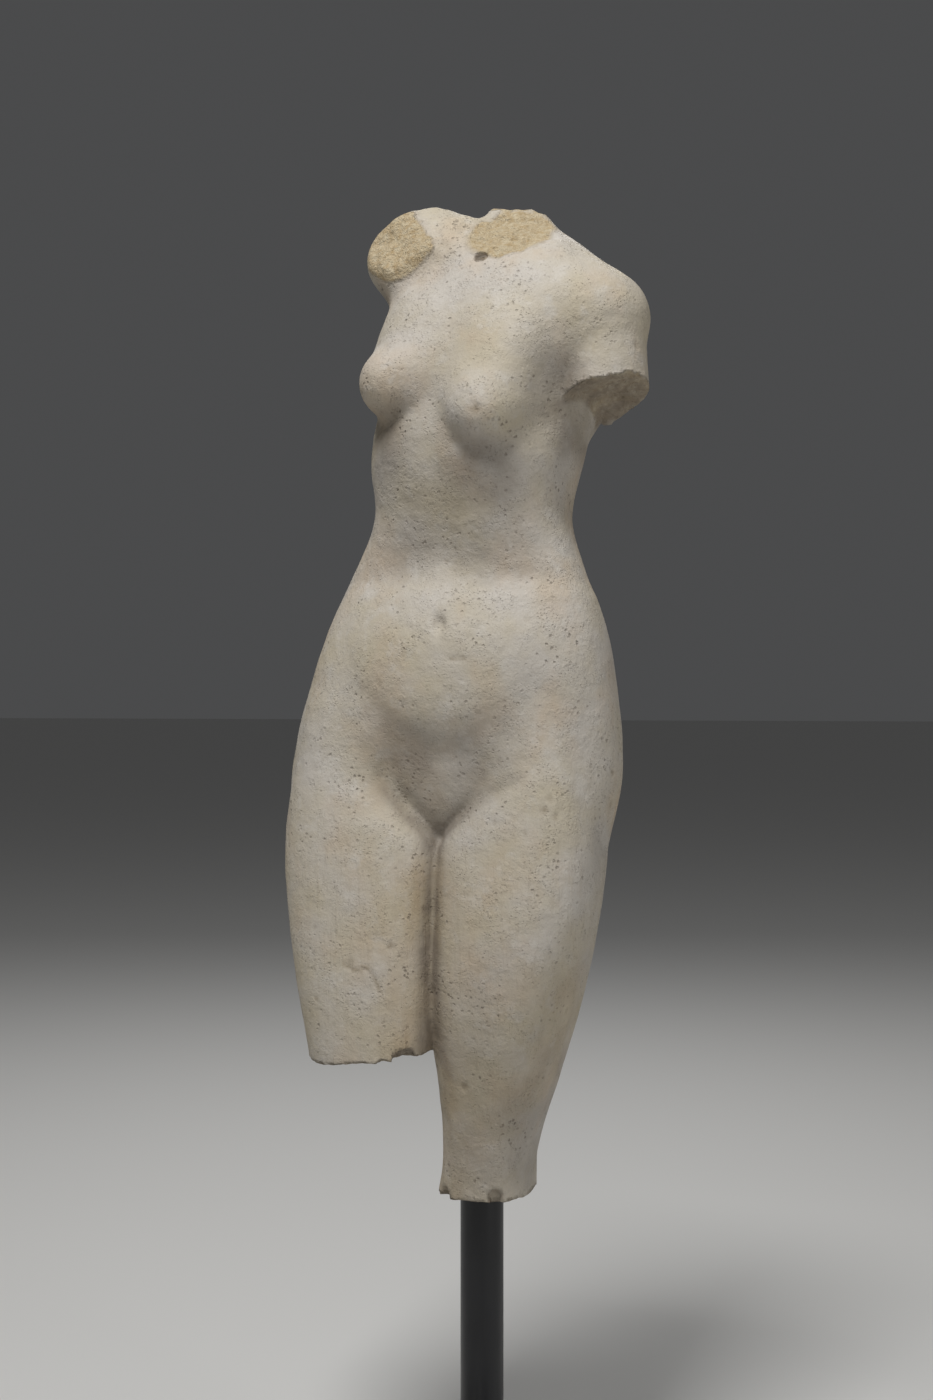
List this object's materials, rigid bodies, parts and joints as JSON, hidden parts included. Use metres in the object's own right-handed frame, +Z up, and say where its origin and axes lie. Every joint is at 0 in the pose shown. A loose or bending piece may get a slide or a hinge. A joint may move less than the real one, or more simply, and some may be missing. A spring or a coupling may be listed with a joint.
{
  "type": "marble torso sculpture",
  "caption": "Weathered marble torso of a standing nude woman, broken at neck, arms and legs, held up on a round steel rod in a low square plate.",
  "frame": {"origin": "centre of the plate's underside, below the axis of the rod", "axes": "+Z up; the figure's hips face -Y; the figure's left is +X"},
  "size_m": [0.24, 0.24, 0.7785],
  "materials": {
    "marble": "weathered, matt",
    "rod_paint": "satin black",
    "plate_paint": "satin black"
  },
  "bodies": {
    "root": {"torso": "marble", "support_rod": "rod_paint", "base_plate": "plate_paint"}
  },
  "joints": []
}
